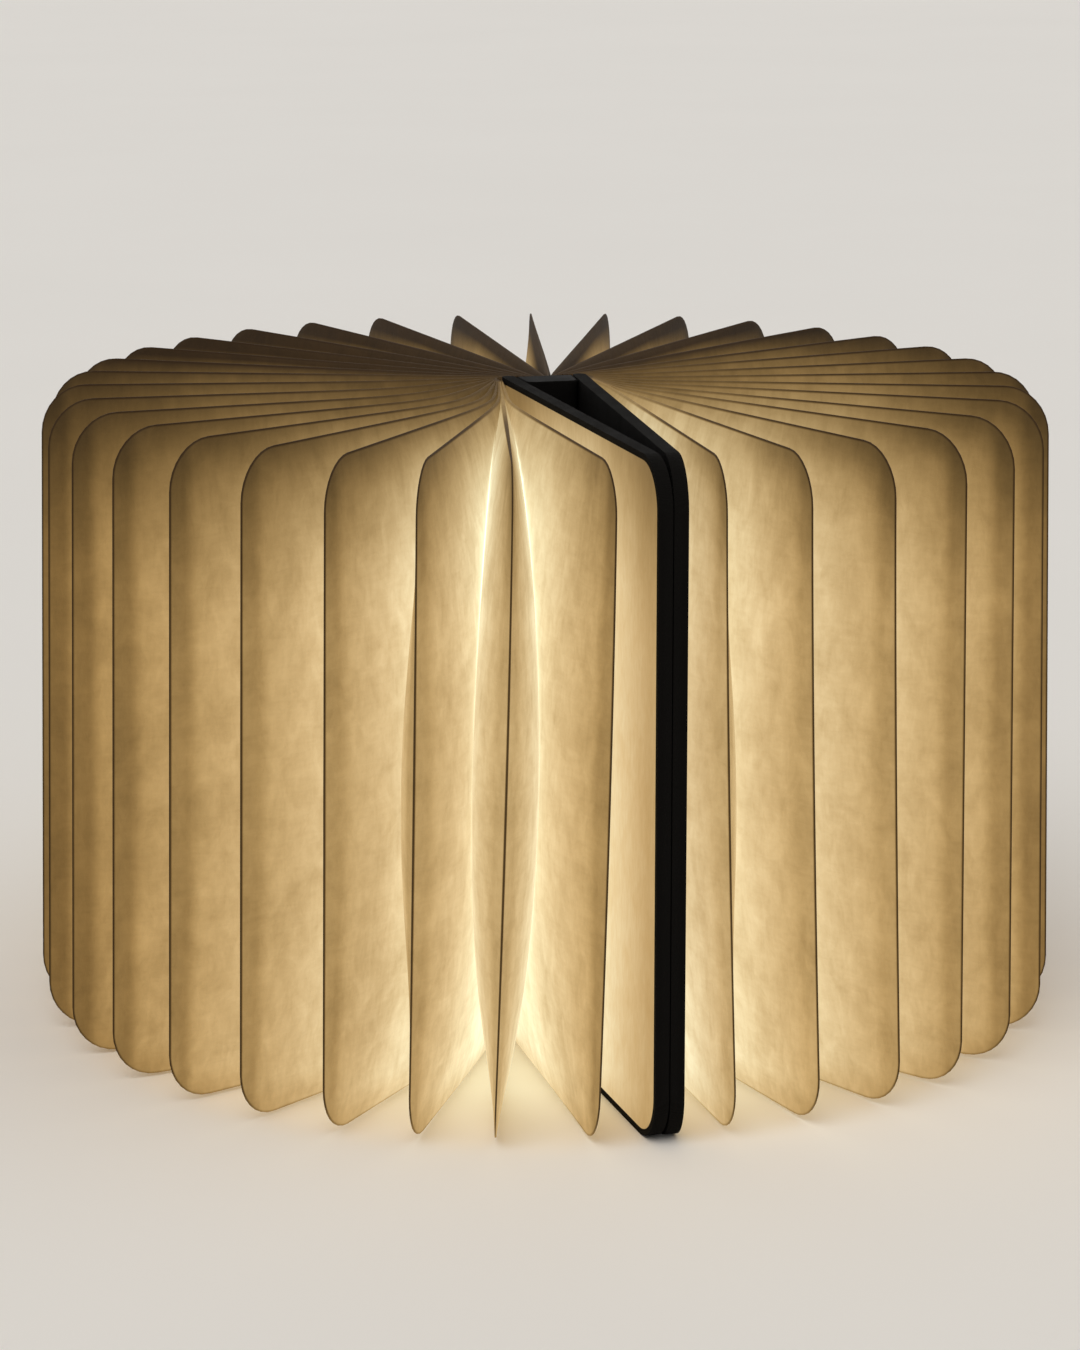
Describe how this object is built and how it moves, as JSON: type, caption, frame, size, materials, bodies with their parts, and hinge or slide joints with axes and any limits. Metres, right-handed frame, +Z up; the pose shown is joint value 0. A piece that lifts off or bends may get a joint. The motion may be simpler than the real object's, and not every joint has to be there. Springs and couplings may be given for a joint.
{
  "type": "folding book lamp",
  "caption": "Battery book lamp on end, black cloth covers folded back to back, a full circle of glowing double-leaf paper pages round a slim lit spine",
  "frame": {"origin": "middle of the object's box in plan, on the surface that the covers and the spine stand on", "axes": "+Z up along the spine; the opened covers point to -Y and the light faces +Y; the hinge lines are parallel to Z"},
  "size_m": [0.3645, 0.3412, 0.215],
  "materials": {
    "cover_cloth": "black book cloth, matt, fine weave",
    "cover_board": "grey bookbinder's board",
    "cover_lining": "cream paper, matt",
    "page_paper": "spun fibre paper, translucent, lit from within",
    "housing": "black moulded plastic, matt",
    "light_strip": "plain rolled strip",
    "light_chips": "yellow phosphor under clear resin",
    "lens": "opal plastic, satin",
    "battery": "shrink film over flat cells",
    "circuit_board": "green solder mask",
    "board_chips": "black moulded chips",
    "port_shell": "nickel-plated shell",
    "light_pipe": "milky light pipe",
    "lead_wires": "silicone-covered wire",
    "magnets": "nickel-plated discs"
  },
  "bodies": {
    "spine": {"spine_housing": "housing", "spine_cloth": "cover_cloth", "end_cap_top": "housing", "end_cap_bottom": "housing", "light_strip": "light_strip", "light_chips": "light_chips", "lens_strip": "lens", "battery_cells": "battery", "control_board": "circuit_board", "board_chips": "board_chips", "charging_port": "port_shell", "charging_light": "light_pipe", "lead_wires": "lead_wires"},
    "cover_left": {"cover_board_left": "cover_board", "cover_cloth_left": "cover_cloth", "cover_lining_left": "cover_lining", "hinge_cloth_left": "cover_cloth", "cover_magnets_left": "magnets", "trigger_magnet": "magnets"},
    "cover_right": {"cover_board_right": "cover_board", "cover_cloth_right": "cover_cloth", "cover_lining_right": "cover_lining", "hinge_cloth_right": "cover_cloth", "cover_magnets_right": "magnets"},
    "page_01": {"page_01": "page_paper"},
    "page_02": {"page_02": "page_paper"},
    "page_03": {"page_03": "page_paper"},
    "page_04": {"page_04": "page_paper"},
    "page_05": {"page_05": "page_paper"},
    "page_06": {"page_06": "page_paper"},
    "page_07": {"page_07": "page_paper"},
    "page_08": {"page_08": "page_paper"},
    "page_09": {"page_09": "page_paper"},
    "page_10": {"page_10": "page_paper"},
    "page_11": {"page_11": "page_paper"},
    "page_12": {"page_12": "page_paper"},
    "page_13": {"page_13": "page_paper"},
    "page_14": {"page_14": "page_paper"},
    "page_15": {"page_15": "page_paper"},
    "page_16": {"page_16": "page_paper"},
    "page_17": {"page_17": "page_paper"},
    "page_18": {"page_18": "page_paper"},
    "page_19": {"page_19": "page_paper"},
    "page_20": {"page_20": "page_paper"},
    "page_21": {"page_21": "page_paper"},
    "page_22": {"page_22": "page_paper"},
    "page_23": {"page_23": "page_paper"},
    "page_24": {"page_24": "page_paper"},
    "page_25": {"page_25": "page_paper"},
    "page_26": {"page_26": "page_paper"},
    "page_27": {"page_27": "page_paper"},
    "page_28": {"page_28": "page_paper"},
    "page_29": {"page_29": "page_paper"},
    "page_30": {"page_30": "page_paper"},
    "page_31": {"page_31": "page_paper"},
    "page_32": {"page_32": "page_paper"},
    "page_33": {"page_33": "page_paper"},
    "page_34": {"page_34": "page_paper"}
  },
  "joints": [
    {"name": "opening", "type": "hinge", "parent": "spine", "child": "cover_left", "pos_m": [-0.0122, 0, 0], "axis": [0, 0, -1], "range_deg": [0, 183.27]},
    {"name": "cover_right_hinge", "type": "hinge", "parent": "spine", "child": "cover_right", "pos_m": [0.0122, 0, 0], "axis": [0, 0, 1], "range_deg": [0, 183.27]},
    {"name": "page_01_hinge", "type": "hinge", "parent": "spine", "child": "page_01", "pos_m": [-0.0122, 0, 0], "axis": [0, 0, -1], "range_deg": [0, 178.1]},
    {"name": "page_02_hinge", "type": "hinge", "parent": "spine", "child": "page_02", "pos_m": [-0.0122, 0, 0], "axis": [0, 0, -1], "range_deg": [0, 167.73]},
    {"name": "page_03_hinge", "type": "hinge", "parent": "spine", "child": "page_03", "pos_m": [-0.0122, 0, 0], "axis": [0, 0, -1], "range_deg": [0, 157.36]},
    {"name": "page_04_hinge", "type": "hinge", "parent": "spine", "child": "page_04", "pos_m": [-0.0122, 0, 0], "axis": [0, 0, -1], "range_deg": [0, 146.98]},
    {"name": "page_05_hinge", "type": "hinge", "parent": "spine", "child": "page_05", "pos_m": [-0.0122, 0, 0], "axis": [0, 0, -1], "range_deg": [0, 136.58]},
    {"name": "page_06_hinge", "type": "hinge", "parent": "spine", "child": "page_06", "pos_m": [-0.0122, 0, 0], "axis": [0, 0, -1], "range_deg": [0, 126.18]},
    {"name": "page_07_hinge", "type": "hinge", "parent": "spine", "child": "page_07", "pos_m": [-0.0122, 0, 0], "axis": [0, 0, -1], "range_deg": [0, 115.75]},
    {"name": "page_08_hinge", "type": "hinge", "parent": "spine", "child": "page_08", "pos_m": [-0.0122, 0, 0], "axis": [0, 0, -1], "range_deg": [0, 105.3]},
    {"name": "page_09_hinge", "type": "hinge", "parent": "spine", "child": "page_09", "pos_m": [-0.0122, 0, 0], "axis": [0, 0, -1], "range_deg": [0, 94.83]},
    {"name": "page_10_hinge", "type": "hinge", "parent": "spine", "child": "page_10", "pos_m": [-0.0122, 0, 0], "axis": [0, 0, -1], "range_deg": [0, 84.33]},
    {"name": "page_11_hinge", "type": "hinge", "parent": "spine", "child": "page_11", "pos_m": [-0.0122, 0, 0], "axis": [0, 0, -1], "range_deg": [0, 73.8]},
    {"name": "page_12_hinge", "type": "hinge", "parent": "spine", "child": "page_12", "pos_m": [-0.0122, 0, 0], "axis": [0, 0, -1], "range_deg": [0, 63.23]},
    {"name": "page_13_hinge", "type": "hinge", "parent": "spine", "child": "page_13", "pos_m": [-0.0122, 0, 0], "axis": [0, 0, -1], "range_deg": [0, 52.64]},
    {"name": "page_14_hinge", "type": "hinge", "parent": "spine", "child": "page_14", "pos_m": [-0.0122, 0, 0], "axis": [0, 0, -1], "range_deg": [0, 42.01]},
    {"name": "page_15_hinge", "type": "hinge", "parent": "spine", "child": "page_15", "pos_m": [-0.0122, 0, 0], "axis": [0, 0, -1], "range_deg": [0, 31.34]},
    {"name": "page_16_hinge", "type": "hinge", "parent": "spine", "child": "page_16", "pos_m": [-0.0122, 0, 0], "axis": [0, 0, -1], "range_deg": [0, 20.64]},
    {"name": "page_17_hinge", "type": "hinge", "parent": "spine", "child": "page_17", "pos_m": [-0.0122, 0, 0], "axis": [0, 0, -1], "range_deg": [0, 9.9]},
    {"name": "page_18_hinge", "type": "hinge", "parent": "spine", "child": "page_18", "pos_m": [0.0122, 0, 0], "axis": [0, 0, 1], "range_deg": [0, 0.9051]},
    {"name": "page_19_hinge", "type": "hinge", "parent": "spine", "child": "page_19", "pos_m": [0.0122, 0, 0], "axis": [0, 0, 1], "range_deg": [0, 11.72]},
    {"name": "page_20_hinge", "type": "hinge", "parent": "spine", "child": "page_20", "pos_m": [0.0122, 0, 0], "axis": [0, 0, 1], "range_deg": [0, 22.58]},
    {"name": "page_21_hinge", "type": "hinge", "parent": "spine", "child": "page_21", "pos_m": [0.0122, 0, 0], "axis": [0, 0, 1], "range_deg": [0, 33.48]},
    {"name": "page_22_hinge", "type": "hinge", "parent": "spine", "child": "page_22", "pos_m": [0.0122, 0, 0], "axis": [0, 0, 1], "range_deg": [0, 44.41]},
    {"name": "page_23_hinge", "type": "hinge", "parent": "spine", "child": "page_23", "pos_m": [0.0122, 0, 0], "axis": [0, 0, 1], "range_deg": [0, 55.37]},
    {"name": "page_24_hinge", "type": "hinge", "parent": "spine", "child": "page_24", "pos_m": [0.0122, 0, 0], "axis": [0, 0, 1], "range_deg": [0, 66.37]},
    {"name": "page_25_hinge", "type": "hinge", "parent": "spine", "child": "page_25", "pos_m": [0.0122, 0, 0], "axis": [0, 0, 1], "range_deg": [0, 77.4]},
    {"name": "page_26_hinge", "type": "hinge", "parent": "spine", "child": "page_26", "pos_m": [0.0122, 0, 0], "axis": [0, 0, 1], "range_deg": [0, 88.46]},
    {"name": "page_27_hinge", "type": "hinge", "parent": "spine", "child": "page_27", "pos_m": [0.0122, 0, 0], "axis": [0, 0, 1], "range_deg": [0, 99.55]},
    {"name": "page_28_hinge", "type": "hinge", "parent": "spine", "child": "page_28", "pos_m": [0.0122, 0, 0], "axis": [0, 0, 1], "range_deg": [0, 110.66]},
    {"name": "page_29_hinge", "type": "hinge", "parent": "spine", "child": "page_29", "pos_m": [0.0122, 0, 0], "axis": [0, 0, 1], "range_deg": [0, 121.8]},
    {"name": "page_30_hinge", "type": "hinge", "parent": "spine", "child": "page_30", "pos_m": [0.0122, 0, 0], "axis": [0, 0, 1], "range_deg": [0, 132.95]},
    {"name": "page_31_hinge", "type": "hinge", "parent": "spine", "child": "page_31", "pos_m": [0.0122, 0, 0], "axis": [0, 0, 1], "range_deg": [0, 144.12]},
    {"name": "page_32_hinge", "type": "hinge", "parent": "spine", "child": "page_32", "pos_m": [0.0122, 0, 0], "axis": [0, 0, 1], "range_deg": [0, 155.3]},
    {"name": "page_33_hinge", "type": "hinge", "parent": "spine", "child": "page_33", "pos_m": [0.0122, 0, 0], "axis": [0, 0, 1], "range_deg": [0, 166.49]},
    {"name": "page_34_hinge", "type": "hinge", "parent": "spine", "child": "page_34", "pos_m": [0.0122, 0, 0], "axis": [0, 0, 1], "range_deg": [0, 177.68]}
  ],
  "couplings": [
    {"joint": "cover_right_hinge", "follows": "opening", "ratio": 1},
    {"joint": "page_01_hinge", "follows": "opening", "ratio": 0.97172},
    {"joint": "page_02_hinge", "follows": "opening", "ratio": 0.91516},
    {"joint": "page_03_hinge", "follows": "opening", "ratio": 0.85856},
    {"joint": "page_04_hinge", "follows": "opening", "ratio": 0.80192},
    {"joint": "page_05_hinge", "follows": "opening", "ratio": 0.74521},
    {"joint": "page_06_hinge", "follows": "opening", "ratio": 0.68842},
    {"joint": "page_07_hinge", "follows": "opening", "ratio": 0.63152},
    {"joint": "page_08_hinge", "follows": "opening", "ratio": 0.57451},
    {"joint": "page_09_hinge", "follows": "opening", "ratio": 0.51736},
    {"joint": "page_10_hinge", "follows": "opening", "ratio": 0.46007},
    {"joint": "page_11_hinge", "follows": "opening", "ratio": 0.40261},
    {"joint": "page_12_hinge", "follows": "opening", "ratio": 0.34498},
    {"joint": "page_13_hinge", "follows": "opening", "ratio": 0.28717},
    {"joint": "page_14_hinge", "follows": "opening", "ratio": 0.22916},
    {"joint": "page_15_hinge", "follows": "opening", "ratio": 0.17096},
    {"joint": "page_16_hinge", "follows": "opening", "ratio": 0.11255},
    {"joint": "page_17_hinge", "follows": "opening", "ratio": 0.05394},
    {"joint": "page_18_hinge", "follows": "opening", "ratio": 0.004884},
    {"joint": "page_19_hinge", "follows": "opening", "ratio": 0.063917},
    {"joint": "page_20_hinge", "follows": "opening", "ratio": 0.12316},
    {"joint": "page_21_hinge", "follows": "opening", "ratio": 0.1826},
    {"joint": "page_22_hinge", "follows": "opening", "ratio": 0.24224},
    {"joint": "page_23_hinge", "follows": "opening", "ratio": 0.30208},
    {"joint": "page_24_hinge", "follows": "opening", "ratio": 0.3621},
    {"joint": "page_25_hinge", "follows": "opening", "ratio": 0.42229},
    {"joint": "page_26_hinge", "follows": "opening", "ratio": 0.48264},
    {"joint": "page_27_hinge", "follows": "opening", "ratio": 0.54314},
    {"joint": "page_28_hinge", "follows": "opening", "ratio": 0.60377},
    {"joint": "page_29_hinge", "follows": "opening", "ratio": 0.66452},
    {"joint": "page_30_hinge", "follows": "opening", "ratio": 0.72538},
    {"joint": "page_31_hinge", "follows": "opening", "ratio": 0.78631},
    {"joint": "page_32_hinge", "follows": "opening", "ratio": 0.84732},
    {"joint": "page_33_hinge", "follows": "opening", "ratio": 0.90837},
    {"joint": "page_34_hinge", "follows": "opening", "ratio": 0.96945}
  ]
}
